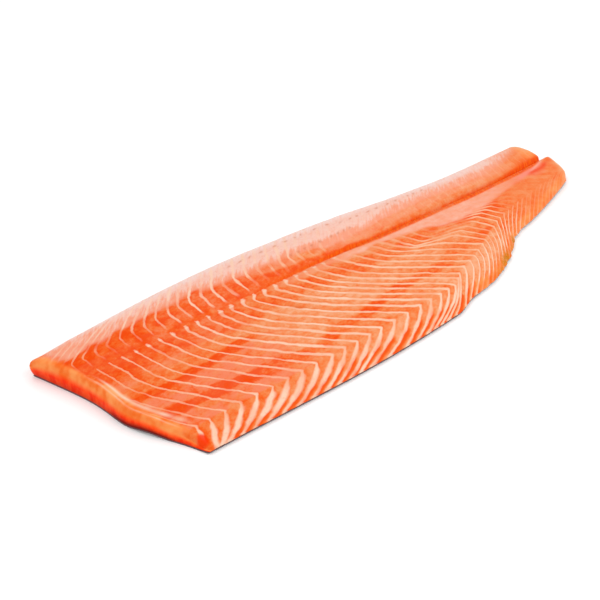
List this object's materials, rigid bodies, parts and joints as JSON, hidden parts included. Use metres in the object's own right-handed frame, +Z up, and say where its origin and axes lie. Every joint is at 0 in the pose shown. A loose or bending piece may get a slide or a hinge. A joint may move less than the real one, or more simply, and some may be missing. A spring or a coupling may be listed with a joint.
{
  "type": "raw trout fillet",
  "caption": "Skin-on side of raw trout lying skin down: orange flesh crowned over the loin, creased along the lateral line and thinning to the belly edge and the tail.",
  "frame": {"origin": "middle of the footprint, at the height of the surface that the skin lies on", "axes": "+X from the head cut to the tail cut, +Y towards the back of the fish, +Z up, out of the flesh"},
  "size_m": [0.441, 0.1429, 0.0206],
  "materials": {
    "flesh": "moist orange muscle with pale bands of connective tissue",
    "skin": "moist scaled skin, dark along the back and silver at the belly"
  },
  "bodies": {
    "root": {"flesh": "flesh", "skin": "skin"}
  },
  "joints": []
}
